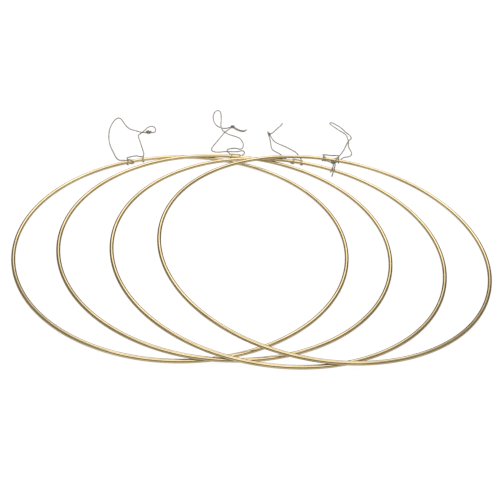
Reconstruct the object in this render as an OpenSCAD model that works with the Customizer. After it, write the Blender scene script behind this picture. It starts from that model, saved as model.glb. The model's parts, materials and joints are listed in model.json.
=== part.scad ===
// Wreath frames: four round metal rings laid fanned on a table, each with a knotted twine hanger.
// Millimetres, +Z up. The table is z = 0 and the origin is under the middle of the set.

/* [Rings] */
// Outside diameter of each ring
ring_d = 350; // [260:1:420]
// Thickness of the round rod that the rings are bent from
rod_d = 4; // [3:0.1:6]
// Clearance left where one rod lies on another
rest_gap = 0.3; // [0.2:0.05:0.6]

/* [Fan] */
// Steps to the right from each ring's centre to the next one's
fan_steps = [46, 55.5, 47.5]; // [30:0.5:70]
// How far each ring's centre lies behind the middle line
fan_offsets = [0.7, 2.3, -3.4, 3.4]; // [-6:0.1:6]

/* [Twine] */
// Thickness of the twine
twine_d = 1.4; // [1:0.1:2]
// Clearance between the rod and a turn of twine round it
turn_gap = 0.05; // [0.02:0.01:0.1]
// Degrees round each ring from where its neighbour's rod crosses it behind to its hitch
hitch_leads = [31, 15, -7, -20.8]; // [-30:0.1:40]
// Distance along the rod between the two turns of each hitch
hitch_spans = [19.6, 11.6, 11.5, 19]; // [8:0.1:24]
// Gap between a turn and the end of the strand that leaves it
exit_gap = 0.45; // [0.3:0.05:0.8]
// Thickness of a knot, which holds two strands side by side
knot_d = 4.6; // [3.6:0.1:6]
// Length of a knot
knot_l = 6.6; // [5:0.1:9]
// Clearance between the rod and the knot that hangs beside it
knot_gap = 0.3; // [0.2:0.05:0.6]

/* [Hidden] */

gold = "#C8A468";
jute = "#A89C88";

rod_r = rod_d / 2;
bend_r = (ring_d - rod_d) / 2;
twine_r = twine_d / 2;
turn_r = rod_r + turn_gap + twine_r;
turn_outer_r = turn_r + twine_r;
exit_r = turn_outer_r + exit_gap;
exit_straight = 0.8 * twine_d;
table_gap = 0.02;
up = [0, 0, 1];
tube_sides = 8;
tube_pitch = 2.5 * twine_d;

// --- how the rings rest on the table and on each other ---------------------------------------

function unit(v) = v / norm(v);
function total(v, n) = n == 0 ? 0 : v[n - 1] + total(v, n - 1);

// Ring centres before the set is moved over the origin
raw_centres = [for (k = [0:3]) [total(fan_steps, k), fan_offsets[k]]];

// A ring's neighbour is the next one, and the last ring's is the one before it.
function neighbour(k) = k < 3 ? k + 1 : k - 1;
function back_crossing(k) =
    let (apart = raw_centres[neighbour(k)] - raw_centres[k],
         towards = atan2(apart.y, apart.x),
         open = acos(norm(apart) / 2 / bend_r))
    k < 3 ? towards + open : towards - open;

hitch_angles = [for (k = [0:3]) back_crossing(k) + hitch_leads[k]];

// A resting plane is [height over the ring's own centre, slope along X, slope along Y].
function height(plane, centre, p) = plane[0] + plane[1] * (p.x - centre.x) + plane[2] * (p.y - centre.y);
function slope(plane) = norm([plane[1], plane[2]]);

// Ring 1 lies on the table in front and on the twine under its own hitch behind.
lift_1 = turn_gap + twine_d + table_gap;
tilt_1 = asin(lift_1 / (2 * bend_r));
plane_1 = [rod_r + lift_1 / 2, tan(tilt_1) * cos(hitch_angles[0]), tan(tilt_1) * sin(hitch_angles[0])];

// A ring with its centre at c that touches the table and lies across a lower ring at two points
function rest_on(c, lower_c, lower_plane) =
    let (mid = (c + lower_c) / 2,
         apart = norm(c - lower_c),
         along = unit(c - lower_c),
         across = [-along.y, along.x],
         half = sqrt(bend_r * bend_r - apart * apart / 4),
         h_front = height(lower_plane, lower_c, mid - half * across) + rod_d + rest_gap,
         h_back = height(lower_plane, lower_c, mid + half * across) + rod_d + rest_gap,
         h_mid = (h_front + h_back) / 2,
         g_across = (h_back - h_front) / (2 * half),
         // (h_mid - rod_r + g apart/2) = bend_r * hypot(g, g_across), solved for the slope g
         qa = apart * apart / 4 - bend_r * bend_r,
         qb = (h_mid - rod_r) * apart,
         qc = pow(h_mid - rod_r, 2) - pow(bend_r * g_across, 2),
         root = sqrt(qb * qb - 4 * qa * qc),
         g = min((-qb + root) / (2 * qa), (-qb - root) / (2 * qa)),
         slopes = g * along + g_across * across)
    [h_mid + g * apart / 2, slopes.x, slopes.y];

function steepest(planes, i = 0) =
    i == len(planes) - 1 ? planes[i]
    : let (rest = steepest(planes, i + 1)) slope(planes[i]) > slope(rest) ? planes[i] : rest;

// Each ring lies on whichever lower ring holds it the steepest.
function stack(k) =
    k == 0 ? [plane_1]
    : let (below = stack(k - 1),
           c = raw_centres[k])
      concat(below, [steepest([for (j = [0:k - 1]) rest_on(c, raw_centres[j], below[j])])]);

planes = stack(3);

function reach(k) = bend_r * cos(atan(planes[k][1])) + rod_r;
shift = (raw_centres[0].x - reach(0) + raw_centres[3].x + reach(3)) / 2;
centres = [for (c = raw_centres) [c.x - shift, c.y]];

function ring_tilt(k) = atan(slope(planes[k]));
function ring_lean(k) = unit([planes[k][2], -planes[k][1], 0]);
function ring_middle(k) = [centres[k].x, centres[k].y, planes[k][0]];

// A vector turned with ring k, by Rodrigues' formula about the ring's lean axis
function leaned(k, v) =
    let (u = ring_lean(k), a = ring_tilt(k))
    v * cos(a) + cross(u, v) * sin(a) + u * (u * v) * (1 - cos(a));

function ring_out(k, angle) = leaned(k, [cos(angle), sin(angle), 0]);
function ring_up(k) = leaned(k, up);
function ring_point(k, angle) = ring_middle(k) + bend_r * ring_out(k, angle);

// --- routes of the twine -----------------------------------------------------------------------

// How far below its ring's plane each hanger's twine points where it leaves a turn
strand_drops = [25, 20, 50, 35];
loop_end_drop = 30;
// How far above the plane a slack bight points, and where a snug one lies round the rod
bight_rise = 45;

// A route's points are [right, behind, level] from the middle of its hitch. Level counts twine
// thicknesses above the table: 0.5 lies on the table, 1.8 passes over another strand.
lies = 0.5;
over = 1.8;
knot_level = 1.5;

left_route_1 = [[-11.5, 2.5, 0.7], [-15, 4, lies], [-19, 3, lies], [-23, 6, lies], [-26.5, 12, lies],
                [-30, 20, lies], [-34, 29, lies], [-37.5, 38, lies], [-41, 50, lies], [-43.5, 63, lies],
                [-45, 77, lies], [-44.5, 92, lies], [-42.5, 103, lies], [-39, 108.5, lies],
                [-35, 106, lies], [-31, 99, lies], [-25, 88, lies], [-19, 81, 0.6], [-12, 76.5, 1.2],
                [-6, 72.5, over], [-1, 71, over], [3.4, 72.2, knot_level]];
right_route_1 = [[7.6, 10.5, 0.8], [7.5, 15, lies], [7, 22, lies], [4.5, 31, lies], [1, 42, lies],
                 [-2.5, 53, lies], [-5.5, 62, lies], [-6, 67, lies], [-3, 73.5, lies], [0, 81, lies],
                 [3, 88.5, lies], [7, 92, lies], [11, 90, lies], [13.5, 84, lies], [13.5, 77.5, 0.7],
                 [11, 73.5, 1.3], [8, 73.1, knot_level]];
bight_route_1 = [[-10.5, 4, 3], [-8.5, 9.5, 1.6], [-5.5, 13.5, 0.8], [-2, 15.5, lies], [2, 15.3, lies],
                 [5, 13.2, 1.1], [7.3, 10.2, 2.7]];
knot_1_at = [5.5, 72.8];
tail_routes_1 = [[[5.2, 73.6, knot_level], [5, 76.5, 1.1], [4.5, 79.5, lies]],
                 [[6.6, 73.6, knot_level], [7.4, 76.2, 1.1], [8.6, 78.6, lies]]];

left_route_2 = [[8, 9.5, 2.8], [9.6, 15, 1.4], [10.3, 20.5, lies], [9.2, 24.6, lies], [6, 25.4, lies],
                [2.5, 23, lies], [-3, 22, lies], [-9, 21.6, lies], [-15, 20.6, lies], [-22, 18.6, lies],
                [-28, 19, lies], [-31, 23, lies], [-30.5, 30, lies], [-27, 41, lies], [-23, 53, lies],
                [-19.8, 63, lies], [-18, 68, lies], [-15.5, 73, 0.6], [-12, 77.6, 1.1],
                [-9, 81.3, knot_level]];
right_route_2 = [[-7.5, 10.5, 2.9], [-10, 16.5, 2.1], [-11.5, 21.5, over], [-10, 26.5, 1],
                 [-6, 29.6, lies], [-1, 30.8, lies], [3.2, 29.2, lies], [6.2, 30, lies], [7.6, 34, lies],
                 [8, 41, lies], [6.4, 48.5, lies], [3, 56, lies], [-2, 60, lies], [-7.5, 62, 0.8],
                 [-13, 63.5, 1.4], [-18, 68.3, over], [-20.4, 73, 1], [-21.6, 78, lies], [-23.6, 87, lies],
                 [-24.2, 101, lies], [-25.2, 115, lies], [-27, 125, lies], [-30.5, 128.4, lies],
                 [-33.8, 124.5, lies], [-35.6, 115, lies], [-34.8, 103, lies], [-32, 92, 0.6],
                 [-27.5, 83, 1.2], [-22, 77.6, over], [-18, 77, over], [-14, 79.2, 1.5],
                 [-9.4, 83.1, knot_level]];
knot_2_at = [-7.6, 82.8];
tail_routes_2 = [[[-6.6, 83.2, knot_level], [-3.6, 81.4, 1], [0, 79.2, lies], [5, 76.8, lies],
                  [8, 77.4, lies], [11, 79.8, lies]],
                 [[-6.8, 81.5, knot_level], [-4.4, 79, 1], [-0.6, 77, lies], [4.6, 74.6, lies],
                  [9, 75.6, lies]]];

left_route_3 = [[-6.6, 6, 2.3], [-8, 10.5, 0.9], [-11, 15.5, lies], [-15, 22, lies], [-19.5, 28.5, lies],
                [-25, 34, lies], [-29.5, 38.5, lies], [-31.8, 45, lies], [-32.6, 53, lies],
                [-33.4, 61, lies], [-34.6, 69, 0.9], [-35.9, 74.8, knot_level]];
right_route_3 = [[6.8, 5, 2.2], [7.2, 10, 0.9], [6.6, 16, lies], [4.6, 24, lies], [2, 31, lies],
                 [-1, 37, lies], [-6, 42, lies], [-12, 47.4, lies], [-18, 52, lies], [-24, 56.4, lies],
                 [-28.6, 61.6, lies], [-31.6, 68, 0.9], [-34.4, 75.2, knot_level]];
knot_3_at = [-35.2, 76.6];
tail_routes_3 = [[[-35.8, 78.6, knot_level], [-36.6, 81.6, 0.9], [-37, 84.6, lies]],
                 [[-34.4, 77.4, knot_level], [-32.4, 80.2, 0.9], [-29.8, 85, lies], [-27, 90.6, lies],
                  [-23.6, 97.6, lies], [-20.6, 103.2, lies], [-18, 109.6, lies]]];

loop_route_4 = [[-7.6, 8.6, 4.6], [-3.6, 12.6, 3], [1.6, 15.8, 1.8], [7, 19, 0.9], [11, 23.4, lies],
                [13.8, 28.8, lies], [17, 36, lies], [20.4, 45, lies], [23, 54, 0.8], [25.4, 60.6, 1.4],
                [27.6, 65.4, over], [29.8, 70, 1], [31, 75, lies], [30, 80, lies], [27.2, 85.4, lies],
                [24.2, 90.6, lies], [21, 97, lies], [17.4, 103, lies], [13.4, 107.6, lies],
                [9.8, 111.4, lies], [6.2, 113.2, lies], [4.4, 110.4, lies], [6.8, 106, lies],
                [10.6, 101, lies], [14.4, 95.6, lies], [18.4, 90.6, lies], [22, 86.4, lies],
                [24.8, 81.4, lies], [26, 74.6, lies], [26.6, 68.6, lies], [26.6, 62.4, lies],
                [26, 55.4, lies], [26.6, 48.4, lies], [28.2, 41.6, lies], [29, 35, lies],
                [27.6, 29.4, lies], [23.6, 26, lies], [19, 24, lies], [15.8, 20, 0.9], [13.6, 14, 2],
                [11.8, 8, 4]];
bight_route_4 = [[-9.6, 5, 9.5], [-9, 10, 7.9], [-7.2, 16, 5.4], [-4.6, 22.4, 2.6], [-1, 27, 0.7],
                 [3.4, 26.6, 0.7], [7, 22, 2.8], [9.4, 15, 5.8], [10.2, 7.8, 8.5]];
knot_3_turned = 110;

// The knot beside ring 4's rod: how far to the right of the hitch, and how far below the rod
knot_4_right = 3;
knot_4_down = 0.8;
// Its tails lie over ring 3's rod. Their level counts from the middle of that rod, and 1 is the
// level of a twine that rests on it.
tail_routes_4 = [[[4.8, -5.8, 1], [4.9, -9.5, 1.1], [4.6, -13, 1.15], [3.6, -18.6, 1.2],
                  [2.6, -23.4, 0.9], [1.4, -27.2, 0], [0.6, -29.4, -0.9]],
                 [[3, -5.6, 1], [3.1, -9.1, 1.1], [2.6, -12.6, 1.15], [1.4, -18, 1.2],
                  [0.2, -22.4, 1], [-1.2, -25.8, 0.35]]];

// --- points in the part's frame ----------------------------------------------------------------

function half_span(k) = hitch_spans[k] / 2 / bend_r * 180 / PI;
function left_turn(k) = hitch_angles[k] + half_span(k);
function right_turn(k) = hitch_angles[k] - half_span(k);
function hitch_point(k) = ring_point(k, hitch_angles[k]);

// Route points moved from the hitch to the table under it
function placed(k, route) =
    let (h = hitch_point(k))
    [for (p = route) [h.x + p.x, h.y + p.y, max(p.z * twine_d, twine_r + table_gap)]];

// Route points of a twine that lies over ring j's rod, near hitch k
function draped(k, j, route) =
    let (h = hitch_point(k))
    [for (p = route)
        let (at = [h.x + p.x, h.y + p.y])
        [at.x, at.y, height(planes[j], centres[j], at) + p.z * (rod_r + twine_r)]];

// The two points of the straight where a strand leaves a turn, dropping or rising by an angle
function exit_points(k, angle, rise) =
    let (out = ring_out(k, angle) * cos(rise) + ring_up(k) * sin(rise))
    [for (d = [exit_r, exit_r + exit_straight]) ring_point(k, angle) + d * out];

function reversed(list) = [for (i = [len(list) - 1:-1:0]) list[i]];

// A strand that leaves one turn of hitch k, sinking towards the table
function strand(k, angle, route) =
    concat(exit_points(k, angle, -strand_drops[k]), placed(k, route));

// A length of twine that leaves the left turn of hitch k and comes back to its right turn
function arch(k, rise_left, rise_right, route) =
    concat(exit_points(k, left_turn(k), rise_left), placed(k, route),
           reversed(exit_points(k, right_turn(k), rise_right)));

// --- a tube along a route ----------------------------------------------------------------------

function pick(p, i) = p[min(max(i, 0), len(p) - 1)];

// A Catmull-Rom curve through the points: position t of the way from point i to the next
function curve(p, i, t) =
    let (a = pick(p, i - 1), b = p[i], c = pick(p, i + 1), d = pick(p, i + 2))
    0.5 * (2 * b + (c - a) * t + (2 * a - 5 * b + 4 * c - d) * t * t
           + (3 * b - a - 3 * c + d) * t * t * t);

function smoothed(p) =
    [for (i = [0:len(p) - 2])
        let (n = max(1, round(norm(p[i + 1] - p[i]) / tube_pitch)))
        for (j = [0:n - 1]) curve(p, i, j / n),
     p[len(p) - 1]];

module tube(route) {
    path = smoothed(route);
    n = len(path);
    points = [for (i = [0:n - 1])
        let (ahead = unit(pick(path, i + 1) - pick(path, i - 1)),
             side = unit(cross(ahead, up)),
             top = cross(side, ahead))
        for (s = [0:tube_sides - 1])
            let (a = (s + 0.5) * 360 / tube_sides)
            path[i] + twine_r * (cos(a) * side + sin(a) * top)];
    walls = [for (i = [0:n - 2], s = [0:tube_sides - 1])
        let (b = i * tube_sides, next = (s + 1) % tube_sides)
        [b + s, b + next, b + tube_sides + next, b + tube_sides + s]];
    start_cap = [[for (s = [tube_sides - 1:-1:0]) s]];
    end_cap = [[for (s = [0:tube_sides - 1]) (n - 1) * tube_sides + s]];
    polyhedron(points = points, faces = concat(start_cap, walls, end_cap));
}

// --- pieces ------------------------------------------------------------------------------------

// Children drawn in ring k's own plane, with the ring's middle at the origin
module on_ring(k) {
    translate(ring_middle(k))
        rotate(a = ring_tilt(k), v = ring_lean(k))
            children();
}

module ring(k) {
    color(gold)
        on_ring(k)
            rotate_extrude($fn = 180)
                translate([bend_r, 0])
                    circle(r = rod_r, $fn = 36);
}

// One turn of twine round the rod
module turn(angle) {
    rotate([0, 0, angle])
        translate([bend_r, 0, 0])
            rotate([90, 0, 0])
                rotate_extrude($fn = 36)
                    translate([turn_r, 0])
                        circle(r = twine_r, $fn = 24);
}

// The two turns of a hitch
module hitch(k) {
    color(jute)
        on_ring(k) {
            turn(left_turn(k));
            turn(right_turn(k));
        }
}

// The two turns with the twine between them pulled tight along the rod's upper outer side
module tight_hitch(k) {
    color(jute)
        on_ring(k) {
            turn(left_turn(k));
            turn(right_turn(k));
            rotate([0, 0, right_turn(k)])
                rotate_extrude(angle = 2 * half_span(k), $fn = 180)
                    translate([bend_r + turn_r * cos(bight_rise), turn_r * sin(bight_rise)])
                        circle(r = twine_r, $fn = 24);
        }
}

module twine(route) {
    color(jute) tube(route);
}

// A knot with round ends, its length turned by an angle in the level plane
module knot(middle, turned) {
    straight = knot_l - knot_d;
    color(jute)
        translate(middle)
            rotate([0, 0, turned]) {
                rotate([0, 90, 0]) cylinder(d = knot_d, h = straight, center = true, $fn = 36);
                for (end = [-1, 1]) translate([end * straight / 2, 0, 0]) sphere(d = knot_d, $fn = 36);
            }
}

// A knot lying on the table, away from hitch k
module table_knot(k, at, turned) {
    h = hitch_point(k);
    knot([h.x + at.x, h.y + at.y, knot_d / 2 + table_gap], turned);
}

module tails(k, routes) {
    for (route = routes) twine(placed(k, route));
}

module draped_tails(k, j, routes) {
    for (route = routes) twine(draped(k, j, route));
}

module knot_beside_rod() {
    beside = hitch_angles[3] - knot_4_right / bend_r * 180 / PI;
    inward = -ring_out(3, beside);
    knot(ring_point(3, beside) + inward * (rod_r + knot_gap + knot_d / 2) - knot_4_down * up, 0);
}

ring(0);  // ring_1
ring(1);  // ring_2
ring(2);  // ring_3
ring(3);  // ring_4

hitch(0);  // hitch_1
tight_hitch(1);  // hitch_2
tight_hitch(2);  // hitch_3
hitch(3);  // hitch_4

twine(arch(0, bight_rise, bight_rise, bight_route_1));  // bight_1
twine(arch(3, bight_rise, bight_rise, bight_route_4));  // bight_4

twine(strand(0, left_turn(0), left_route_1));  // left_strand_1
twine(strand(1, right_turn(1), left_route_2));  // left_strand_2
twine(strand(2, left_turn(2), left_route_3));  // left_strand_3
twine(strand(0, right_turn(0), right_route_1));  // right_strand_1
twine(strand(1, left_turn(1), right_route_2));  // right_strand_2
twine(strand(2, right_turn(2), right_route_3));  // right_strand_3
twine(arch(3, -strand_drops[3], -loop_end_drop, loop_route_4));  // loop_4

table_knot(0, knot_1_at, 0);  // knot_1
table_knot(1, knot_2_at, 0);  // knot_2
table_knot(2, knot_3_at, knot_3_turned);  // knot_3
knot_beside_rod();  // knot_4

tails(0, tail_routes_1);  // tails_1
tails(1, tail_routes_2);  // tails_2
tails(2, tail_routes_3);  // tails_3
draped_tails(3, 2, tail_routes_4);  // tails_4
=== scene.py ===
"""Four round wreath frames of gold-plated rod, fanned on a table, each with a jute hanger."""

import json
import logging
import math
from dataclasses import dataclass, field
from enum import Enum

import bpy
import numpy as np
from mathutils import Matrix, Vector


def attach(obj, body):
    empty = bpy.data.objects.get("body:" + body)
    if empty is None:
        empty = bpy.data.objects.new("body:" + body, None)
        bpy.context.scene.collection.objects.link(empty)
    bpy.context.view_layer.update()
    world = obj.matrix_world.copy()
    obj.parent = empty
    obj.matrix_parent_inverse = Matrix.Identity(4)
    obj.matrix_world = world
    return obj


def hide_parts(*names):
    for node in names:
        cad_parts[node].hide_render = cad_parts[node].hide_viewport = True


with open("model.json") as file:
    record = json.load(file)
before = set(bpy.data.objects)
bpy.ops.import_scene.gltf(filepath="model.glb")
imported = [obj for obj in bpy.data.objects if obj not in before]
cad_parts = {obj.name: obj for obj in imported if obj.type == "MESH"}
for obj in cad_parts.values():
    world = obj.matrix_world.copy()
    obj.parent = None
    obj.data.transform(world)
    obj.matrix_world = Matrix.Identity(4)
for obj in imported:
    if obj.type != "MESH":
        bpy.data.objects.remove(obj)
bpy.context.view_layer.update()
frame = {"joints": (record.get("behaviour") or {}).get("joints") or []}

log = logging.getLogger("wreath_frames")
Array = np.ndarray

MM = 0.001
TURN = 2 * math.pi
UP = np.array([0.0, 0.0, 1.0])

ROD = 4.0 * MM
TWINE = 1.4 * MM
TURN_GAP = 0.05 * MM
TABLE_GAP = 0.02 * MM
# Radius at which the middle of the twine runs when it lies round the rod
WRAP = ROD / 2 + TURN_GAP + TWINE / 2
# The lowest that a fibre may reach
TABLE = 0.02 * MM
# Distance between points along a path of twine
STEP = 0.4 * MM
# How far twine runs straight on as it leaves a turn
STRAIGHT = 1.6 * MM
# Height of the middle of a knot that lies on the table
KNOT_HEIGHT = 2.32 * MM
# From ring 1 to ring 4: how far apart a hitch's two turns are, how far each leans along the
# rod, and whether the twine between them is pulled tight
SPANS = (19.6 * MM, 11.6 * MM, 11.5 * MM, 19.0 * MM)
LEANS = ((7.0 * MM, -1.2 * MM), (2.2 * MM, -1.5 * MM), (2.0 * MM, -1.8 * MM), (3.5 * MM, -4.5 * MM))
SNUG = (False, True, True, False)


class Slot(Enum):
    """The record's material slots."""

    RING = "ring"
    TWINE = "twine"


# --- small helpers ---


def linear(hex_colour: str) -> tuple[float, float, float, float]:
    """Turns an sRGB hex colour into linear RGBA.

    Args:
        hex_colour: Six hex digits after a hash, such as "#C9A66B".

    Returns:
        Red, green and blue as linear light, and an alpha of 1.
    """
    parts = [int(hex_colour[i:i + 2], 16) / 255 for i in (1, 3, 5)]
    r, g, b = (c / 12.92 if c <= 0.04045 else ((c + 0.055) / 1.055) ** 2.4 for c in parts)
    return r, g, b, 1.0


def add_node(tree: bpy.types.NodeTree, kind: str, settings: dict | None = None,
             links: dict | None = None) -> bpy.types.Node:
    """Adds one node with its settings and links.

    Args:
        tree: The node tree to add it to.
        kind: The node's type name, such as "ShaderNodeTexNoise".
        settings: Values by attribute name, or by input socket name.
        links: Output sockets by the name or number of the input that they feed.

    Returns:
        The new node.
    """
    node = tree.nodes.new(kind)
    for name, value in (settings or {}).items():
        if isinstance(name, int) or name in node.inputs:
            node.inputs[name].default_value = value
        else:
            setattr(node, name, value)
    for name, source in (links or {}).items():
        tree.links.new(source, node.inputs[name])
    return node


def new_material(name: str) -> tuple[bpy.types.Material, bpy.types.NodeTree, bpy.types.Node]:
    """Makes a material of nodes.

    Args:
        name: The material's name.

    Returns:
        The material, its node tree and its Principled shader.
    """
    made = bpy.data.materials.new(name)
    made.use_nodes = True
    return made, made.node_tree, made.node_tree.nodes["Principled BSDF"]


def new_object(name: str, data: bpy.types.ID) -> bpy.types.Object:
    """Makes an object and links it to the scene.

    Args:
        name: The object's name.
        data: Its mesh, camera or light.

    Returns:
        The new object.
    """
    made = bpy.data.objects.new(name, data)
    bpy.context.scene.collection.objects.link(made)
    return made


def colour_ramp(tree: bpy.types.NodeTree, source: bpy.types.NodeSocket,
                stops: list[tuple[float, str]]) -> bpy.types.NodeSocket:
    """Turns a value into a colour through stops.

    Args:
        tree: The node tree.
        source: The value, from 0 to 1.
        stops: Places from 0 to 1, each with its sRGB hex colour.

    Returns:
        The ramp's colour output.
    """
    ramp = add_node(tree, "ShaderNodeValToRGB", links={"Fac": source})
    elements = ramp.color_ramp.elements
    while len(elements) < len(stops):
        elements.new(0.5)
    for element, (place, colour) in zip(elements, stops):
        element.position = place
        element.color = linear(colour)
    return ramp.outputs["Color"]


def unit(vectors: Array) -> Array:
    """Scales vectors, which are an array's last axis, to length 1."""
    return vectors / np.maximum(np.linalg.norm(vectors, axis=-1, keepdims=True), 1e-12)


def curve_through(points: Array, step: float) -> Array:
    """Draws a Catmull-Rom curve through points and spaces it evenly.

    Between two points b and c, with a before and d after, the curve is half of
    2b + (c - a)t + (2a - 5b + 4c - d)t^2 + (3b - a - 3c + d)t^3.

    Args:
        points: The route's points, one row each.
        step: The distance between points of the result, in metres.

    Returns:
        The curve's points, one row each.
    """
    p = np.asarray(points, float)
    a, b, c, d = (p[np.clip(np.arange(len(p) - 1) + k, 0, len(p) - 1)][:, None] for k in (-1, 0, 1, 2))
    t = np.linspace(0, 1, 24, endpoint=False)[None, :, None]
    fine = 0.5 * (2 * b + (c - a) * t + (2 * a - 5 * b + 4 * c - d) * t ** 2
                  + (3 * b - a - 3 * c + d) * t ** 3)
    fine = np.concatenate([fine.reshape(-1, 3), p[-1:]])
    return spaced(fine, step)


def spaced(points: Array, step: float) -> Array:
    """Spaces a polyline's points evenly, by its length from the start.

    Args:
        points: The polyline's points, one row each.
        step: The distance between points of the result, in metres.

    Returns:
        The new points, one row each.
    """
    s = arc_length(points)
    at = np.linspace(0, s[-1], max(2, round(s[-1] / step) + 1))
    return np.stack([np.interp(at, s, points[:, i]) for i in range(3)], axis=1)


def softened(values: Array, width: int) -> Array:
    """Averages an array along its first axis with a Hann window, ends held.

    Args:
        values: The array.
        width: How many neighbours on each side count.

    Returns:
        An array of the same shape.
    """
    window = np.hanning(2 * width + 3)[1:-1]
    window /= window.sum()
    padded = np.concatenate([values[:1].repeat(width, 0), values, values[-1:].repeat(width, 0)])
    flat = padded.reshape(len(padded), -1)
    out = np.stack([np.convolve(column, window, "valid") for column in flat.T], axis=1)
    return out.reshape(values.shape)


def arc_length(path: Array) -> Array:
    """The length of a path up to each of its points."""
    return np.concatenate([[0], np.cumsum(np.linalg.norm(np.diff(path, axis=0), axis=1))])


def directions(path: Array, closed: bool = False) -> Array:
    """The unit direction of a path at each point, by central differences.

    Args:
        path: Points, one row each.
        closed: Whether the last point joins the first.

    Returns:
        Unit vectors, one row each.
    """
    if closed:
        return unit(np.roll(path, -1, axis=0) - np.roll(path, 1, axis=0))
    return unit(np.gradient(path, axis=0))


def untwisted_frame(path: Array) -> tuple[Array, Array]:
    """Two directions across a path that don't spin about it.

    A fixed direction that the path never runs along gives a first pair. The spin of that
    pair about the path is added up along it, and turned back out.

    Args:
        path: Points, one row each.

    Returns:
        Two arrays of unit vectors, at right angles to the path and to each other.
    """
    ahead = directions(path)
    k = np.arange(200) + 0.5
    z, turn = 1 - k / 200, k * math.pi * (1 + 5 ** 0.5)
    choices = np.stack([np.sqrt(1 - z * z) * np.cos(turn), np.sqrt(1 - z * z) * np.sin(turn), z], 1)
    fixed = choices[np.argmin(np.abs(choices @ ahead.T).max(axis=1))]
    side = unit(np.cross(ahead, fixed))
    top = np.cross(ahead, side)
    spin = np.concatenate([[0], np.cumsum((np.diff(side, axis=0) * (top[1:] + top[:-1]) / 2).sum(1))])
    c, s = np.cos(-spin)[:, None], np.sin(-spin)[:, None]
    return c * side + s * top, c * top - s * side


# --- surfaces ---


@dataclass
class Surface:
    """Points, and faces whose corners hold UVs. A face of three corners repeats none."""

    points: list[Array] = field(default_factory=list)
    corners: list[Array] = field(default_factory=list)
    sizes: list[Array] = field(default_factory=list)
    uvs: list[Array] = field(default_factory=list)
    count: int = 0

    def add_points(self, points: Array) -> Array:
        """Adds points to the surface.

        Args:
            points: The points, with X, Y and Z along the last axis.

        Returns:
            Their numbers, shaped as the points without their last axis.
        """
        numbers = self.count + np.arange(points.size // 3).reshape(points.shape[:-1])
        self.points.append(points.reshape(-1, 3))
        self.count += points.size // 3
        return numbers

    def add_faces(self, faces: Array, uvs: Array) -> None:
        """Adds faces that all have the same number of corners.

        Args:
            faces: Point numbers, with a face's corners along the last axis.
            uvs: UV pairs, shaped as the faces with a last axis of 2.
        """
        self.corners.append(faces.ravel())
        self.sizes.append(np.full(faces.size // faces.shape[-1], faces.shape[-1]))
        self.uvs.append(uvs.reshape(-1, 2))

    def tubes(self, grid: Array, along: Array, seamless: bool = False) -> None:
        """Adds round tubes whose rings of points are given.

        Args:
            grid: Points, shaped tubes x rings x sides x 3, each ring anticlockwise
                as seen from the tube's far end.
            along: The length along each tube at each ring, shaped tubes x rings.
            seamless: Whether the last ring joins the first, which leaves no ends to close.
        """
        sides = grid.shape[2]
        number = self.add_points(grid)
        here, low = (number, along) if seamless else (number[:, :-1], along[:, :-1])
        there = np.roll(number, -1, axis=1) if seamless else number[:, 1:]
        high = along + along[:, 1:2] - along[:, :1] if seamless else along[:, 1:]
        faces = np.stack([here, np.roll(here, -1, 2), np.roll(there, -1, 2), there], axis=-1)
        v = np.arange(sides) / sides
        corners = ((low, v), (low, v + 1 / sides), (high, v + 1 / sides), (high, v))
        uv = [np.stack(np.broadcast_arrays(u[..., None], w), axis=-1) for u, w in corners]
        self.add_faces(faces, np.stack(uv, axis=-2))
        if seamless:
            return
        # The ends are closed with fans of triangles round a point in the middle
        for end, order in ((0, [0, 2, 1]), (-1, [0, 1, 2])):
            rim = number[:, end]
            hub = np.broadcast_to(self.add_points(grid[:, end].mean(axis=1))[:, None], rim.shape)
            fan = np.stack([hub, rim, np.roll(rim, -1, 1)], axis=-1)[..., order]
            flat = np.zeros(fan.shape + (2,))
            flat[..., 0] = along[:, end][:, None, None]
            self.add_faces(fan, flat)

    def piece(self, name: str, body: str, slot: Slot, material: bpy.types.Material) -> bpy.types.Object:
        """Makes the mesh and its object, and lets it ride on a body.

        Args:
            name: The piece's name.
            body: The CAD body that it moves with.
            slot: The record's material slot; not used.
            material: What it is made of.

        Returns:
            The new object, at the origin.
        """
        points = np.concatenate(self.points).astype(np.float32)
        corners = np.concatenate(self.corners).astype(np.int32)
        sizes = np.concatenate(self.sizes).astype(np.int32)
        mesh = bpy.data.meshes.new(name)
        mesh.vertices.add(len(points))
        mesh.vertices.foreach_set("co", points.ravel())
        mesh.loops.add(len(corners))
        mesh.loops.foreach_set("vertex_index", corners)
        mesh.polygons.add(len(sizes))
        mesh.polygons.foreach_set("loop_start", np.concatenate([[0], np.cumsum(sizes)[:-1]]).astype(np.int32))
        mesh.polygons.foreach_set("loop_total", sizes)
        mesh.update(calc_edges=True)
        layer = mesh.uv_layers.new(name="along")
        layer.data.foreach_set("uv", np.concatenate(self.uvs).astype(np.float32).ravel())
        mesh.polygons.foreach_set("use_smooth", np.ones(len(sizes), bool))
        mesh.materials.append(material)
        mesh.validate()
        piece = new_object(name, mesh)
        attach(piece, body)
        log.info("%s: %d points, %d faces, on %s", name, len(points), len(sizes), body)
        return piece


# --- finishes ---


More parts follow.
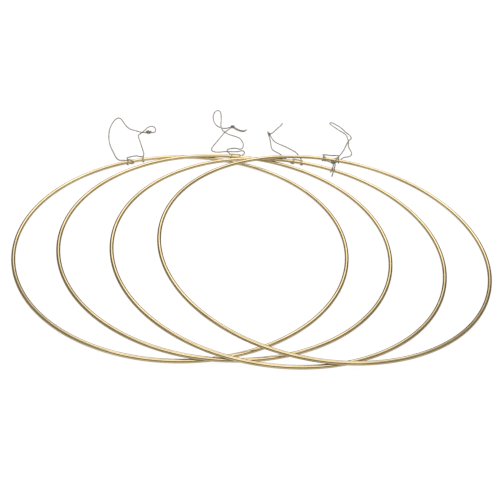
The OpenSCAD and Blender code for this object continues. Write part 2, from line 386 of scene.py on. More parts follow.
@dataclass(frozen=True)
class PlatedRod:
    """Brass-coloured plating on drawn steel rod.

    The die that the rod was drawn through left fine lines along it. The plating is smooth.
    """

    light: str = "#C4B38E"
    dark: str = "#AD9B73"
    edge: str = "#5C4833"
    roughness: float = 0.15
    line_mm: float = 0.12

    def material(self) -> bpy.types.Material:
        """Builds the node material.

        Returns:
            The new material.
        """
        made, tree, shader = new_material("gold plated steel rod")
        shader.inputs["Metallic"].default_value = 1.0
        shader.inputs["Specular Tint"].default_value = linear(self.edge)
        where = add_node(tree, "ShaderNodeTexCoord")
        # Draw lines: U runs along the rod in metres, V once round it, and each line is long.
        girth_mm = math.pi * ROD / MM
        stretch = add_node(tree, "ShaderNodeMapping",
                           {"Scale": (1 / (40 * MM), girth_mm / self.line_mm, 1)},
                           {"Vector": where.outputs["UV"]})
        lines = add_node(tree, "ShaderNodeTexNoise", {"Scale": 1.0, "Detail": 3.0, "Roughness": 0.55},
                         {"Vector": stretch.outputs["Vector"]})
        # Plating is a little thicker and yellower in patches about 25 mm long.
        patches = add_node(tree, "ShaderNodeTexNoise", {"Scale": 1 / (25 * MM), "Detail": 2.0},
                           {"Vector": where.outputs["Object"]})
        shade = add_node(tree, "ShaderNodeMath", {"operation": "MULTIPLY_ADD", 1: 0.35},
                         {0: lines.outputs["Fac"]})
        tree.links.new(patches.outputs["Fac"], shade.inputs[2])
        colour = colour_ramp(tree, shade.outputs["Value"], [(0.35, self.dark), (0.95, self.light)])
        tree.links.new(colour, shader.inputs["Base Color"])
        rough = add_node(tree, "ShaderNodeMapRange",
                         {"From Min": 0.3, "From Max": 0.7, "To Min": self.roughness - 0.05,
                          "To Max": self.roughness + 0.07}, {"Value": lines.outputs["Fac"]})
        tree.links.new(rough.outputs["Result"], shader.inputs["Roughness"])
        bump = add_node(tree, "ShaderNodeBump", {"Strength": 0.12, "Distance": 0.02 * MM},
                        {"Height": lines.outputs["Fac"]})
        tree.links.new(bump.outputs["Normal"], shader.inputs["Normal"])
        return made


@dataclass(frozen=True)
class JuteTwine:
    """Natural jute, spun into three plies and twisted together.

    Bast fibres of different shades lie side by side along each ply, dull and hairy.
    """

    pale: str = "#A69D8D"
    middle: str = "#857D70"
    dark: str = "#5E574D"
    fibre_mm: float = 0.1
    name: str = "three ply jute"

    def material(self) -> bpy.types.Material:
        """Builds the node material.

        Returns:
            The new material.
        """
        made, tree, shader = new_material(self.name)
        shader.inputs["Roughness"].default_value = 0.85
        shader.inputs["Specular IOR Level"].default_value = 0.25
        shader.inputs["Sheen Weight"].default_value = 0.15
        shader.inputs["Sheen Roughness"].default_value = 0.5
        where = add_node(tree, "ShaderNodeTexCoord")
        # Fibres: U runs along the ply in metres and V once round it, and a ply is about half
        # as thick as the twine.
        girth_mm = math.pi * 0.5 * TWINE / MM
        stretch = add_node(tree, "ShaderNodeMapping",
                           {"Scale": (1 / (2.5 * MM), girth_mm / self.fibre_mm, 1)},
                           {"Vector": where.outputs["UV"]})
        fibres = add_node(tree, "ShaderNodeTexNoise", {"Scale": 1.0, "Detail": 4.0, "Roughness": 0.6},
                          {"Vector": stretch.outputs["Vector"]})
        # Spun jute changes shade every few millimetres, as thicker and greyer fibres come in.
        slubs = add_node(tree, "ShaderNodeTexNoise", {"Scale": 1 / (7 * MM), "Detail": 2.0},
                         {"Vector": where.outputs["Object"]})
        mixed = add_node(tree, "ShaderNodeMath", {"operation": "MULTIPLY_ADD", 1: 0.6},
                         {0: fibres.outputs["Fac"]})
        halved = add_node(tree, "ShaderNodeMath", {"operation": "MULTIPLY", 1: 0.4},
                          {0: slubs.outputs["Fac"]})
        tree.links.new(halved.outputs["Value"], mixed.inputs[2])
        colour = colour_ramp(tree, mixed.outputs["Value"],
                             [(0.36, self.dark), (0.5, self.middle), (0.66, self.pale)])
        tree.links.new(colour, shader.inputs["Base Color"])
        bump = add_node(tree, "ShaderNodeBump", {"Strength": 0.45, "Distance": 0.05 * MM},
                        {"Height": fibres.outputs["Fac"]})
        tree.links.new(bump.outputs["Normal"], shader.inputs["Normal"])
        return made


# --- where each ring lies ---


@dataclass(frozen=True)
class RingPlace:
    """Where one ring lies at rest, from its joints, and where its hanger is hitched on."""

    number: int
    middle: Array
    up: Array
    hitch: Array

    @classmethod
    def from_joints(cls, number: int) -> "RingPlace":
        """Reads the ring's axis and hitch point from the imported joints.

        Args:
            number: The ring's number, from 1 at the bottom to 4 on top.

        Returns:
            Where the ring lies.
        """
        joints = {joint["name"]: joint for joint in frame["joints"]}
        creep = joints[f"hitch_{number}_creep"]
        swing = joints[f"hanger_{number}_swing"]
        return cls(number, np.array(creep["pos_m"]), unit(np.array(creep["axis"])),
                   np.array(swing["pos_m"]))

    @property
    def radius(self) -> float:
        """The radius of the bend, to the middle of the rod."""
        return float(np.linalg.norm(self.hitch - self.middle))

    def out(self, right: float) -> Array:
        """The direction out of the ring at a place on the rod.

        Args:
            right: The distance along the rod to the right of the hitch, in metres.

        Returns:
            A unit vector.
        """
        towards = unit(self.hitch - self.middle)
        along = np.cross(towards, self.up)
        angle = right / self.radius
        return math.cos(angle) * towards + math.sin(angle) * along

    def along(self, right: float) -> Array:
        """The direction along the rod, to the right as seen from inside the ring."""
        return np.cross(self.out(right), self.up)

    def round_rod(self, right: Array, turn: Array, radius: Array) -> Array:
        """Points round the rod.

        Each is the middle of the rod, plus radius times (cos turn outwards + sin turn up).

        Args:
            right: Distances along the rod to the right of the hitch, in metres.
            turn: Angles round the rod, in radians.
            radius: Distances from the rod's middle, in metres.

        Returns:
            The points, one row each.
        """
        right, turn, radius = np.broadcast_arrays(right, turn, radius)
        angle = right / self.radius
        towards = unit(self.hitch - self.middle)
        along = np.cross(towards, self.up)
        out = np.cos(angle)[:, None] * towards + np.sin(angle)[:, None] * along
        centre = self.middle + self.radius * out
        return centre + radius[:, None] * (np.cos(turn)[:, None] * out + np.sin(turn)[:, None] * self.up)


# --- rings ---


@dataclass
class Ring:
    """One hoop, bent from round rod and butt-welded where its ends meet."""

    place: RingPlace
    rod: float = ROD
    rings: int = 720
    sides: int = 32
    weld_height: float = 0.06 * MM
    weld_width: float = 0.9 * MM

    def surface(self) -> Surface:
        """The hoop's surface.

        The middle line is a circle. The radius round it is half the rod, plus a rise at the
        weld under the hitch: height times exp(-(distance / width)^2).

        Returns:
            A closed tube with U along the rod, in metres.
        """
        bend = self.place.radius
        along = np.arange(self.rings) * TURN * bend / self.rings
        right = along - TURN * bend / 2
        radius = self.rod / 2 + self.weld_height * np.exp(-(right / self.weld_width) ** 2)
        turn = np.arange(self.sides) * TURN / self.sides
        grid = self.place.round_rod(right.repeat(self.sides), np.tile(turn, self.rings),
                                    radius.repeat(self.sides))
        made = Surface()
        made.tubes(grid.reshape(1, self.rings, self.sides, 3), along[None], seamless=True)
        return made

    def build(self, material: bpy.types.Material) -> bpy.types.Object:
        """Makes the hoop, in place of its CAD node.

        Args:
            material: What it is made of.

        Returns:
            The hoop.
        """
        number = self.place.number
        piece = self.surface().piece(f"ring_{number}_rod", f"frame_{number}", Slot.RING, material)
        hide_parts(f"ring_{number}")
        return piece


# --- twine ---


@dataclass
class Twine:
    """Three-ply twine along a path, with loose fibres and, where it is cut, a frayed end."""

    path: Array
    seed: int
    diameter: float = TWINE
    closed: bool = False
    frayed_end: bool = False
    ply_pitch: float = 4.4 * MM
    plies: int = 3
    ply_sides: int = 8
    fibres_per_mm: float = 0.55
    fray: float = 3.5 * MM
    brush: int = 26

    def lines(self) -> tuple[Array, Array, Array]:
        """The middle lines and radii of the plies.

        A ply winds round the twine's middle at 0.24 diameters, one turn each pitch, and opens
        out at a frayed end. Its radius is 0.29 diameters, more or less, so that the plies press
        into each other.

        Returns:
            Ply points (plies x rings x 3), their radii (plies x rings) and the twine's
            directions across it (rings x 2 x 3).
        """
        draw = np.random.default_rng(self.seed)
        path, n = self.path, len(self.path)
        s = arc_length(path)
        total = s[-1] + (np.linalg.norm(path[0] - path[-1]) if self.closed else 0)
        if self.closed:
            ahead = directions(path, closed=True)
            side = unit(np.cross(ahead, np.cross(path[0] - path[n // 3], path[0] - path[2 * n // 3])))
            top = np.cross(ahead, side)
            turns = max(1, round(total / self.ply_pitch))
        else:
            side, top = untwisted_frame(path)
            turns = total / self.ply_pitch
        phase = TURN * turns * s / total + draw.uniform(0, TURN)
        angle = phase[None] + TURN * np.arange(self.plies)[:, None] / self.plies
        opened = np.zeros(n)
        if self.frayed_end:
            opened = np.clip(1 - (total - s) / self.fray, 0, 1) ** 2
        uneven = softened(draw.normal(0, 1, (n, self.plies)), 8).T
        if self.closed:
            uneven = uneven * 0.5 * (1 - np.cos(TURN * np.arange(n) / n))
        offset = self.diameter * (0.24 + 0.4 * opened) * (1 + 0.2 * uneven)
        radius = self.diameter * 0.29 * (1 + 0.3 * uneven) * (1 - 0.45 * opened)
        centre = path[None] + offset[..., None] * (np.cos(angle)[..., None] * side
                                                   + np.sin(angle)[..., None] * top)
        return centre, radius, np.stack([side, top], axis=1)

    def add_to(self, surface: Surface) -> None:
        """Adds the plies, loose fibres and frayed end to a surface.

        Args:
            surface: Where they go.
        """
        centre, radius, across = self.lines()
        side, top = across[:, 0], across[:, 1]
        turn = np.arange(self.ply_sides) * TURN / self.ply_sides
        rim = (np.cos(turn)[None, :, None] * side[:, None] + np.sin(turn)[None, :, None] * top[:, None])
        grid = centre[:, :, None] + radius[..., None, None] * rim[None]
        along = np.broadcast_to(arc_length(self.path), radius.shape)
        ends = np.array([0.0, 0.37, 0.71])[:self.plies, None]
        surface.tubes(kept_above_table(grid), along + ends, seamless=self.closed)
        draw = np.random.default_rng(self.seed + 1)
        self.add_loose_fibres(surface, side, top, draw)
        if self.frayed_end:
            self.add_brush(surface, centre[:, -6:], draw)

    def add_loose_fibres(self, surface: Surface, side: Array, top: Array, draw: np.random.Generator) -> None:
        """Adds short fibres that stand off the twine.

        A fibre starts on the twine's skin and bends away: at t from 0 to 1 it has gone
        length times t along the twine and lift times t^1.5 away from it.

        Args:
            surface: Where they go.
            side: A direction across the twine at each of its points.
            top: The direction at right angles to that one and to the twine.
            draw: The random draws.
        """
        s = arc_length(self.path)
        count = max(2, int(s[-1] / MM * self.fibres_per_mm))
        at = draw.integers(1, len(s) - 1, count)
        turn = draw.uniform(0, TURN, count)[:, None]
        ahead = directions(self.path)[at] * draw.choice([-1, 1], count)[:, None]
        away = np.cos(turn) * side[at] + np.sin(turn) * top[at]
        length = draw.uniform(1.0, 2.6, count)[:, None, None] * MM
        lift = draw.uniform(0.2, 1.15, count)[:, None, None] * MM
        sway = draw.uniform(-0.6, 0.6, count)[:, None, None] * MM
        t = np.linspace(0, 1, 6)[None, :, None]
        start = self.path[at] + away * self.diameter * 0.42
        points = (start[:, None] + ahead[:, None] * length * t + away[:, None] * lift * t ** 1.5
                  + np.cross(ahead, away)[:, None] * sway * np.sin(math.pi * t))
        surface_hairs(surface, points, draw)

    def add_brush(self, surface: Surface, ends: Array, draw: np.random.Generator) -> None:
        """Adds fibres that splay from the cut ends of the plies.

        Args:
            surface: Where they go.
            ends: The last points of each ply, plies x points x 3, in order towards the end.
            draw: The random draws.
        """
        ply = draw.integers(0, len(ends), self.brush)
        tip, ahead = ends[ply, -3], unit(ends[ply, -1] - ends[ply, 0])
        spread = draw.uniform(-1.6, 1.6, (self.brush, 3))
        spread -= (spread * ahead).sum(1, keepdims=True) * ahead
        t = np.linspace(0, 1, 6)[None, :, None]
        length = draw.uniform(0.7, 1.8, self.brush)[:, None, None] * MM
        points = (tip[:, None] + spread[:, None] * 0.1 * MM + ahead[:, None] * length * t
                  + spread[:, None] * 0.4 * MM * t ** 2)
        surface_hairs(surface, points, draw)


def kept_above_table(points: Array) -> Array:
    """Lifts points that would be below the table to just above it.

    Args:
        points: The points, with X, Y and Z along the last axis.

    Returns:
        The points, shaped the same.
    """
    lifted = points.copy()
    lifted[..., 2] = np.maximum(lifted[..., 2], TABLE)
    return lifted


def surface_hairs(surface: Surface, lines: Array, draw: np.random.Generator) -> None:
    """Adds single fibres as thin three-sided tubes that taper to their tips.

    Args:
        surface: Where they go.
        lines: The fibres' points, fibres x points x 3.
        draw: The random draws.
    """
    lines = kept_above_table(lines)
    ahead = unit(np.gradient(lines, axis=1))
    fixed = unit(draw.normal(0, 1, (len(lines), 1, 3)))
    side = unit(np.cross(ahead, fixed))
    top = np.cross(ahead, side)
    thick = draw.uniform(0.045, 0.08, len(lines))[:, None] * MM
    taper = np.linspace(1, 0.3, lines.shape[1])[None]
    turn = np.arange(3) * TURN / 3
    rim = np.cos(turn)[:, None] * side[:, :, None] + np.sin(turn)[:, None] * top[:, :, None]
    grid = lines[:, :, None] + (thick * taper)[..., None, None] * rim
    along = np.linalg.norm(lines - lines[:, :1], axis=-1) + draw.uniform(0, 1, len(lines))[:, None]
    surface.tubes(kept_above_table(grid), along)


# --- routes of the twine, as points [right, behind, level] from the middle of the hitch ---
# Right and behind are in millimetres. Level counts twine thicknesses above the table.

LIES = 0.5
OVER = 1.8
IN_KNOT = 1.5

LEFT_1 = [[-11.5, 2.5, 0.7], [-15, 4, LIES], [-19, 3, LIES], [-23, 6, LIES], [-26.5, 12, LIES],
          [-30, 20, LIES], [-34, 29, LIES], [-37.5, 38, LIES], [-41, 50, LIES], [-43.5, 63, LIES],
          [-45, 77, LIES], [-44.5, 92, LIES], [-42.5, 103, LIES], [-39, 108.5, LIES],
          [-35, 106, LIES], [-31, 99, LIES], [-25, 88, LIES], [-19, 81, 0.6], [-12, 76.5, 1.2],
          [-6, 72.5, OVER], [-1, 71, OVER], [3.4, 72.2, IN_KNOT]]
RIGHT_1 = [[7.6, 10.5, 0.8], [7.5, 15, LIES], [7, 22, LIES], [4.5, 31, LIES], [1, 42, LIES],
           [-2.5, 53, LIES], [-5.5, 62, LIES], [-6, 67, LIES], [-3, 73.5, LIES], [0, 81, LIES],
           [3, 88.5, LIES], [7, 92, LIES], [11, 90, LIES], [13.5, 84, LIES], [13.5, 77.5, 0.7],
           [11, 73.5, 1.3], [8, 73.1, IN_KNOT]]
BIGHT_1 = [[-10.5, 4, 3], [-8.5, 9.5, 1.6], [-5.5, 13.5, 0.8], [-2, 15.5, LIES], [2, 15.3, LIES],
           [5, 13.2, 1.1], [7.3, 10.2, 2.7]]
TAILS_1 = [[[6.6, 73.6, IN_KNOT], [7.4, 76.2, 1.1], [8.6, 78.6, LIES]],
           [[5.2, 73.6, IN_KNOT], [5, 76.5, 1.1], [4.5, 79.5, LIES]]]

LEFT_2 = [[8, 9.5, 2.8], [9.6, 15, 1.4], [10.3, 20.5, LIES], [9.2, 24.6, LIES], [6, 25.4, LIES],
          [2.5, 23, LIES], [-3, 22, LIES], [-9, 21.6, LIES], [-15, 20.6, LIES], [-22, 18.6, LIES],
          [-28, 19, LIES], [-31, 23, LIES], [-30.5, 30, LIES], [-27, 41, LIES], [-23, 53, LIES],
          [-19.8, 63, LIES], [-18, 68, LIES], [-15.5, 73, 0.6], [-12, 77.6, 1.1],
          [-9, 81.3, IN_KNOT]]
RIGHT_2 = [[-7.5, 10.5, 2.9], [-10, 16.5, 2.1], [-11.5, 21.5, OVER], [-10, 26.5, 1],
           [-6, 29.6, LIES], [-1, 30.8, LIES], [3.2, 29.2, LIES], [6.2, 30, LIES], [7.6, 34, LIES],
           [8, 41, LIES], [6.4, 48.5, LIES], [3, 56, LIES], [-2, 60, LIES], [-7.5, 62, 0.8],
           [-13, 63.5, 1.4], [-18, 68.3, OVER], [-20.4, 73, 1], [-21.6, 78, LIES], [-23.6, 87, LIES],
           [-24.2, 101, LIES], [-25.2, 115, LIES], [-27, 125, LIES], [-30.5, 128.4, LIES],
           [-33.8, 124.5, LIES], [-35.6, 115, LIES], [-34.8, 103, LIES], [-32, 92, 0.6],
           [-27.5, 83, 1.2], [-22, 77.6, OVER], [-18, 77, OVER], [-14, 79.2, 1.5],
           [-9.4, 83.1, IN_KNOT]]
TAILS_2 = [[[-6.8, 81.5, IN_KNOT], [-4.4, 79, 1], [-0.6, 77, LIES], [4.6, 74.6, LIES],
            [9, 75.6, LIES]],
           [[-6.6, 83.2, IN_KNOT], [-3.6, 81.4, 1], [0, 79.2, LIES], [5, 76.8, LIES],
            [8, 77.4, LIES], [11, 79.8, LIES]]]

LEFT_3 = [[-6.6, 6, 2.3], [-8, 10.5, 0.9], [-11, 15.5, LIES], [-15, 22, LIES], [-19.5, 28.5, LIES],
          [-25, 34, LIES], [-29.5, 38.5, LIES], [-31.8, 45, LIES], [-32.6, 53, LIES],
          [-33.4, 61, LIES], [-34.6, 69, 0.9], [-35.9, 74.8, IN_KNOT]]
RIGHT_3 = [[6.8, 5, 2.2], [7.2, 10, 0.9], [6.6, 16, LIES], [4.6, 24, LIES], [2, 31, LIES],
           [-1, 37, LIES], [-6, 42, LIES], [-12, 47.4, LIES], [-18, 52, LIES], [-24, 56.4, LIES],
           [-28.6, 61.6, LIES], [-31.6, 68, 0.9], [-34.4, 75.2, IN_KNOT]]
TAILS_3 = [[[-35.8, 78.6, IN_KNOT], [-36.6, 81.6, 0.9], [-37, 84.6, LIES]],
           [[-34.4, 77.4, IN_KNOT], [-32.4, 80.2, 0.9], [-29.8, 85, LIES], [-27, 90.6, LIES],
            [-23.6, 97.6, LIES], [-20.6, 103.2, LIES], [-18, 109.6, LIES]]]

LOOP_4 = [[-7.6, 8.6, 4.6], [-3.6, 12.6, 3], [1.6, 15.8, 1.8], [7, 19, 0.9], [11, 23.4, LIES],
          [13.8, 28.8, LIES], [17, 36, LIES], [20.4, 45, LIES], [23, 54, 0.8], [25.4, 60.6, 1.4],
          [27.6, 65.4, OVER], [29.8, 70, 1], [31, 75, LIES], [30, 80, LIES], [27.2, 85.4, LIES],
          [24.2, 90.6, LIES], [21, 97, LIES], [17.4, 103, LIES], [13.4, 107.6, LIES],
          [9.8, 111.4, LIES], [6.2, 113.2, LIES], [4.4, 110.4, LIES], [6.8, 106, LIES],
          [10.6, 101, LIES], [14.4, 95.6, LIES], [18.4, 90.6, LIES], [22, 86.4, LIES],
          [24.8, 81.4, LIES], [26, 74.6, LIES], [26.6, 68.6, LIES], [26.6, 62.4, LIES],
          [26, 55.4, LIES], [26.6, 48.4, LIES], [28.2, 41.6, LIES], [29, 35, LIES],
          [27.6, 29.4, LIES], [23.6, 26, LIES], [19, 24, LIES], [15.8, 20, 0.9], [13.6, 14, 2],
          [11.8, 8, 4]]
BIGHT_4 = [[-9.6, 5, 9.5], [-9, 10, 7.9], [-7.2, 16, 5.4], [-4.6, 22.4, 2.6], [-1, 27, 0.7],
           [3.4, 26.6, 0.7], [7, 22, 2.8], [9.4, 15, 5.8], [10.2, 7.8, 8.5]]
# These two lie over ring 3's rod. Their level counts from the middle of that rod, and 1 is
# the level of a twine that rests on it.
TAILS_4 = [[[4.8, -5.8, 1], [4.9, -9.5, 1.1], [4.6, -13, 1.15], [3.6, -18.6, 1.2],
            [2.6, -23.4, 0.9], [1.4, -27.2, 0], [0.6, -29.4, -0.9]],
           [[3, -5.6, 1], [3.1, -9.1, 1.1], [2.6, -12.6, 1.15], [1.4, -18, 1.2],
            [0.2, -22.4, 1], [-1.2, -25.8, 0.35]]]


def on_table(place: RingPlace, route: list[list[float]]) -> Array:
    """Moves a route's points from the hitch to the table under it.

    Args:
        place: The ring whose hitch the route is measured from.
        route: The route's points.

    Returns:
        The points in metres, one row each.
    """
    points = np.array(route)
    level = np.maximum(points[:, 2] * TWINE, TWINE / 2 + TABLE_GAP)
    return np.column_stack([place.hitch[0] + points[:, 0] * MM, place.hitch[1] + points[:, 1] * MM, level])


def over_rod(place: RingPlace, other: RingPlace, route: list[list[float]]) -> Array:
    """Moves the points of a route that lies over another ring's rod.

    The rod's level at a point is that of the ring's own plane.

    Args:
        place: The ring whose hitch the route is measured from.
        other: The ring that the route lies over.
        route: The route's points.

    Returns:
        The points in metres, one row each.
    """
    points = np.array(route)
    x, y = place.hitch[0] + points[:, 0] * MM, place.hitch[1] + points[:, 1] * MM
    slope = -other.up[:2] / other.up[2]
    rod = other.middle[2] + slope[0] * (x - other.middle[0]) + slope[1] * (y - other.middle[1])
    return np.column_stack([x, y, rod + points[:, 2] * (ROD + TWINE) / 2])


class Leaves(Enum):
    """The side of the rod from which twine leaves a turn."""

    BELOW = 1.5
    ABOVE = 0.5


@dataclass(frozen=True)
class Exit:
    """Where a length of twine comes off the turn that it belongs to."""

    right: float
    leaves: Leaves
    sideways: float = 0.0

    def lead(self, place: RingPlace) -> Array:
        """The twine's first points, from inside the turn to straight out of it.

        Round the rod the radius grows by 6 % while the angle runs through a seventh of a
        turn, so that the twine comes off the turn at a tangent.

        Args:
            place: The ring that the turn is on.

        Returns:
            Points in order away from the turn.
        """
        share = np.linspace(0, 1, 8)
        back = 0.29 if self.leaves is Leaves.ABOVE else -0.29
        turn = math.pi * (self.leaves.value + back * (1 - share))
        arc = place.round_rod(self.right + self.sideways * share, turn, WRAP * (1 + 0.06 * share))
        straight = arc[-1] + place.out(self.right) * STRAIGHT
        return np.vstack([arc, straight])


# --- hitches ---


@dataclass
class Hitch:
    """The turns of twine that hold a hanger on its ring."""

    place: RingPlace
    span: float
    leans: tuple[float, float]
    snug: bool
    seed: int
    turn_points: int = 56
    bight_points: int = 40

    def turn(self, right: float, lean: float) -> Array:
        """A closed turn round the rod, leaning along it.

        Its place along the rod is right, plus lean times (1 - cos angle) / 2.

        Args:
            right: The distance along the rod to the right of the hitch, in metres.
            lean: How far along the rod the inner side is from the outer side.

        Returns:
            Points, one row each, of which the last joins the first.
        """
        angle = np.linspace(0, TURN, self.turn_points, endpoint=False)
        along = right + lean * (1 - np.cos(angle)) / 2
        return self.place.round_rod(along, angle, np.full(self.turn_points, WRAP))

    def snug_bight(self) -> Array:
        """The twine pulled snug from one turn to the other, on the rod's upper outer side.

        At x from -1 to 1 across the span, its angle round the rod is 0.11 turns plus 0.16
        times x^4 turns, so that it runs up over the rod at the ends, into the turns.

        Returns:
            Points, one row each.
        """
        x = np.linspace(-1, 1, self.bight_points)
        angle = TURN * (0.11 + 0.16 * x ** 4)
        radius = np.full(self.bight_points, WRAP + 0.1 * TWINE)
        return self.place.round_rod(x * self.span / 2, angle, radius)

    def build(self, material: bpy.types.Material) -> bpy.types.Object:
        """Makes the hitch, in place of its CAD node.

        Args:
            material: What it is made of.

        Returns:
            The hitch.
        """
        number = self.place.number
        surface = Surface()
        for index, (side, lean) in enumerate(zip((-1, 1), self.leans)):
            path = self.turn(side * self.span / 2, lean)
            Twine(path, self.seed + 10 * index, closed=True).add_to(surface)
        if self.snug:
            Twine(spaced(self.snug_bight(), STEP), self.seed + 40).add_to(surface)
        piece = surface.piece(f"hitch_{number}_turns", f"hitch_{number}", Slot.TWINE, material)
        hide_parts(f"hitch_{number}")
        return piece


# --- knots ---


@dataclass
class Knot:
    """An overhand knot in two strands, which shows as doubled turns round them."""

    middle: Array
    axis: Array
    seed: int
    coil: float = 1.4 * MM
    turns: float = 1.7
    length: float = 3.6 * MM
    fibres_per_mm: float = 2.2

    def paths(self) -> list[Array]:
        """The two lengths of twine that wind round the strands.

        Each is a helix whose ends sink towards the axis. Its radius is coil times
        (1 - 0.45 x^6), with x from -1 to 1 along the knot. The two are shifted along the
        axis so that they lie side by side.

        Returns:
            Two arrays of points, one row each.
        """
        axis = unit(self.axis)
        side = unit(np.cross(axis, UP))
        top = np.cross(side, axis)
        x = np.linspace(-1, 1, 90)
        radius = self.coil * (1 - 0.45 * x ** 6)
        found = []
        for shift in (-0.5, 0.5):
            turn = TURN * (self.turns * x / 2 + 0.1)
            along = x * self.length / 2 + shift * TWINE * 0.95
            found.append(self.middle + along[:, None] * axis + radius[:, None]
                         * (np.cos(turn)[:, None] * side + np.sin(turn)[:, None] * top))
        return found

    def add_to(self, surface: Surface) -> None:
        """Adds the knot to a surface."""
        for index, path in enumerate(self.paths()):
            Twine(spaced(path, STEP), self.seed + index, fibres_per_mm=self.fibres_per_mm).add_to(surface)


# --- hangers ---


@dataclass
class Length:
    """One length of twine of a hanger: its way, its ends and what it stands for."""

    name: str
    body: str
    points: Array
    exit: Array
    far_end: str
    nodes: tuple[str, ...]
    seed: int

    def build(self, material: bpy.types.Material) -> bpy.types.Object:
        """Args:
            material: What it is made of.

        Returns:
            The twine.
        """
        path = curve_through(self.points, STEP)
        path = softened(path, 2)
        path[:, 2] = np.maximum(path[:, 2], TWINE / 2 + TABLE_GAP)
        surface = Surface()
        Twine(path, self.seed, frayed_end=self.far_end == "bare").add_to(surface)
        piece = surface.piece(self.name, self.body, Slot.TWINE, material)
        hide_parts(*self.nodes)
        return piece


@dataclass
class Hanger:
    """A hanger tied from two strands that meet in a knot: the strands, their tails and the knot."""

    place: RingPlace
    span: float
    left: list[list[float]]
    right: list[list[float]]
    tails: list[list[list[float]]]
    knot_at: tuple[float, float]
    knot_turned: float
    seed: int
    coil: float = 1.4 * MM
    crossed: bool = False
    bight: list[list[float]] | None = None

    def build(self, material: bpy.types.Material) -> list[bpy.types.Object]:
        """Makes every piece of the hanger.

        Args:
            material: What it is made of.

        Returns:
            The pieces.
        """
        number, place = self.place.number, self.place
        body = f"hanger_{number}"
        ends = (-self.span / 2, self.span / 2)
        if self.crossed:
            ends = ends[::-1]
        pieces = []
        for index, (side, route) in enumerate((("left", self.left), ("right", self.right))):
            off = Exit(ends[index], Leaves.BELOW, 0.5 * TWINE * (-1 if ends[index] < 0 else 1))
            points = np.vstack([off.lead(place), on_table(place, route), on_table(place, self.tails[index])])
            nodes = (f"{side}_strand_{number}", f"tails_{number}", f"knot_{number}")
            pieces.append(Length(f"hanger_{number}_{side}_twine", body, points, points[0], "bare", nodes,
                                 self.seed + 100 * index).build(material))
        if self.bight is not None:
            pieces.append(bight_length(place, self.span, self.bight, body, self.seed + 300).build(material))
        h = place.hitch
        middle = np.array([h[0] + self.knot_at[0] * MM, h[1] + self.knot_at[1] * MM, KNOT_HEIGHT])
        turned = math.radians(self.knot_turned)
        surface = Surface()
        axis = np.array([math.cos(turned), math.sin(turned), 0.0])
        Knot(middle, axis, self.seed + 400, self.coil).add_to(surface)
        piece = surface.piece(f"hanger_{number}_knot", body, Slot.TWINE, material)
        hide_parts(f"knot_{number}")
        pieces.append(piece)
        return pieces


def bight_length(place: RingPlace, span: float, route: list[list[float]], body: str, seed: int) -> Length:
    """The slack twine that hangs from one turn of a hitch to the other.

    Args:
        place: The ring that the hitch is on.
        span: The distance between the hitch's turns, in metres.
        route: The points between the turns.
        body: The CAD body that it moves with.
        seed: The seed of its random draws.

    Returns:
        The length of twine, ready to build.
    """
    off_left = Exit(-span / 2, Leaves.ABOVE, 0.4 * TWINE).lead(place)
    off_right = Exit(span / 2, Leaves.ABOVE, -0.4 * TWINE).lead(place)
    points = np.vstack([off_left, on_table(place, route), off_right[::-1]])
    number = place.number
    return Length(f"hanger_{number}_bight", body, points, points[0], "object", (f"bight_{number}",), seed)


@dataclass
class LoopHanger:
    """The last ring's hanger: one long loop, a slack bight, and a knot beside the rod."""

    place: RingPlace
    below: RingPlace
    span: float
    seed: int
    knot_right: float = 3.0 * MM
    knot_in: float = 4.6 * MM
    knot_down: float = 0.8 * MM

    def build(self, material: bpy.types.Material) -> list[bpy.types.Object]:
        """Makes every piece of the hanger.

        Args:
            material: What it is made of.

        Returns:
            The pieces.
        """
        place, number = self.place, self.place.number
        off_left = Exit(-self.span / 2, Leaves.BELOW, -0.5 * TWINE).lead(place)
        off_right = Exit(self.span / 2, Leaves.BELOW, 0.5 * TWINE).lead(place)
        points = np.vstack([off_left, on_table(place, LOOP_4), off_right[::-1]])
        body = f"hanger_{number}"
        pieces = [Length(f"hanger_{number}_loop", body, points, points[0], "object", (f"loop_{number}",),
                         self.seed).build(material),
                  bight_length(place, self.span, BIGHT_4, body, self.seed + 100).build(material)]
        out, along = place.out(self.knot_right), place.along(self.knot_right)
        rod = place.round_rod(np.array([self.knot_right]), np.zeros(1), np.zeros(1))[0]
        middle = rod - out * self.knot_in - UP * self.knot_down
        for index, (side, sign) in enumerate((("right", 1), ("left", -1))):
            start = sign * self.span / 2
            inner = place.round_rod(np.array([start, start - sign * 1.5 * MM]), np.full(2, math.pi),
                                    np.array([WRAP, WRAP + 0.4 * MM]))
            beside = middle + along * sign * 2.2 * MM + UP * 0.4 * MM * sign
            points = np.vstack([inner, beside, over_rod(place, self.below, TAILS_4[index])])
            pieces.append(Length(f"hitch_{number}_{side}_tail", f"hitch_{number}", points, points[0], "bare",
                                 (f"tails_{number}",), self.seed + 200 + 50 * index).build(material))
        surface = Surface()
        Knot(middle, along, self.seed + 400).add_to(surface)
        piece = surface.piece(f"hitch_{number}_knot", f"hitch_{number}", Slot.TWINE, material)
        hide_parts(f"knot_{number}")
        pieces.append(piece)
        return pieces


# --- camera, floor and light ---


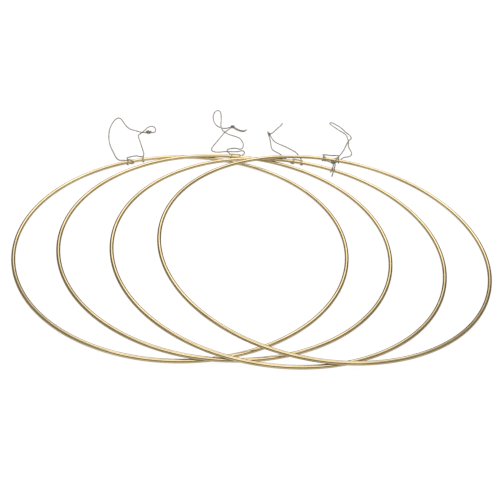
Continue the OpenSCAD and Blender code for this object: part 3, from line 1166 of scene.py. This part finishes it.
@dataclass
class Studio:
    """The camera, a pale floor that glows a little, and two soft lights side by side above."""

    elevation: float = 37.51
    distance: float = 0.8392
    roll: float = 3.54
    lens_mm: float = 57.26
    target: tuple[float, float, float] = (-0.0032, -0.00165, 0.0)
    floor: float = 12.0
    glow: float = 0.92
    floor_colour: str = "#5C5C5C"
    panel_width: float = 0.8
    panel_height: float = 0.5
    # Each soft light's near and far edge along Y
    panel_edges: tuple[tuple[float, float], ...] = ((-0.5, -0.18), (0.04, 0.8))
    watts_per_m2: float = 6.5
    room_low: str = "#363636"
    room_high: str = "#DCDCDC"
    room_strength: float = 0.9

    def camera(self) -> None:
        """Looks along +Y and down at the set, turned a little about its own axis."""
        data = bpy.data.cameras.new("camera")
        data.lens = self.lens_mm
        data.sensor_width = 36.0
        camera = new_object("camera", data)
        tilt = math.radians(self.elevation)
        back = Vector((0, -math.cos(tilt), math.sin(tilt)))
        turn = Matrix.Rotation(math.pi / 2 - tilt, 4, "X") @ Matrix.Rotation(math.radians(self.roll), 4, "Z")
        camera.matrix_world = Matrix.Translation(Vector(self.target) + back * self.distance) @ turn
        bpy.context.scene.camera = camera

    def stage(self) -> None:
        """Lays the floor, which is opal acrylic lit from below."""
        half = self.floor / 2
        mesh = bpy.data.meshes.new("floor")
        mesh.from_pydata([(-half, -half, 0), (half, -half, 0), (half, half, 0), (-half, half, 0)], [],
                         [(0, 1, 2, 3)])
        floor = new_object("floor", mesh)
        made, _, shader = new_material("backlit opal acrylic")
        shader.inputs["Base Color"].default_value = linear(self.floor_colour)
        shader.inputs["Emission Color"].default_value = linear("#FFFFFF")
        shader.inputs["Emission Strength"].default_value = self.glow
        shader.inputs["Roughness"].default_value = 0.9
        shader.inputs["Specular IOR Level"].default_value = 0.1
        mesh.materials.append(made)

    def light(self) -> None:
        """Hangs two soft lights above, a gap apart, in a room that is darker low down."""
        for index, (near, far) in enumerate(self.panel_edges):
            data = bpy.data.lights.new(f"softbox_{index + 1}", "AREA")
            data.shape = "RECTANGLE"
            data.size, data.size_y = self.panel_width, far - near
            data.energy = self.watts_per_m2 * data.size * data.size_y
            box = new_object(data.name, data)
            box.location = (0.0, (near + far) / 2, self.panel_height)
            box.visible_camera = False
        world = bpy.data.worlds.new("room")
        bpy.context.scene.world = world
        world.use_nodes = True
        tree = world.node_tree
        where = add_node(tree, "ShaderNodeTexCoord")
        height = add_node(tree, "ShaderNodeSeparateXYZ", links={"Vector": where.outputs["Generated"]})
        room = colour_ramp(tree, height.outputs["Z"], [(0.15, self.room_low), (0.65, self.room_high)])
        tree.links.new(room, tree.nodes["Background"].inputs["Color"])
        tree.nodes["Background"].inputs["Strength"].default_value = self.room_strength

    def build(self) -> None:
        """Sets up the floor and light, and how light becomes colour."""
        self.stage()
        self.light()
        bpy.context.scene.view_settings.view_transform = "Standard"


def main() -> None:
    """Builds the camera, the hangers, the rings and the studio, in that order."""
    logging.basicConfig(level=logging.INFO, format="%(message)s")
    studio = Studio()
    studio.camera()
    places = [RingPlace.from_joints(number) for number in (1, 2, 3, 4)]
    jute, gold = JuteTwine().material(), PlatedRod().material()
    # A lighter, golden copy of the jute for the hitches' turns and snug bight. It is painted light standing
    # in for the shade that the rod and table cast on them, plus a painted reflection of the gold rod's warm
    # glow.
    jute_painted_light = JuteTwine("#DAC69C", "#BAA57B", "#8E7B58", name="three ply jute painted lighter and golden").material()
    Hanger(places[0], SPANS[0], LEFT_1, RIGHT_1, TAILS_1, (5.5, 72.8), 0, 1000, bight=BIGHT_1).build(jute)
    Hanger(places[1], SPANS[1], LEFT_2, RIGHT_2, TAILS_2, (-7.6, 82.8), 0, 2000, crossed=True).build(jute)
    Hanger(places[2], SPANS[2], LEFT_3, RIGHT_3, TAILS_3, (-35.2, 76.6), 110, 3000, 1.0 * MM).build(jute)
    LoopHanger(places[3], places[2], SPANS[3], 4000).build(jute)
    for place, span, leans, snug in zip(places, SPANS, LEANS, SNUG):
        # The hitches use the jute copy that is painted lighter and golden.
        Hitch(place, span, leans, snug, 100 * place.number).build(jute_painted_light)
        Ring(place).build(gold)
    studio.build()


if __name__ == "__main__":
    main()
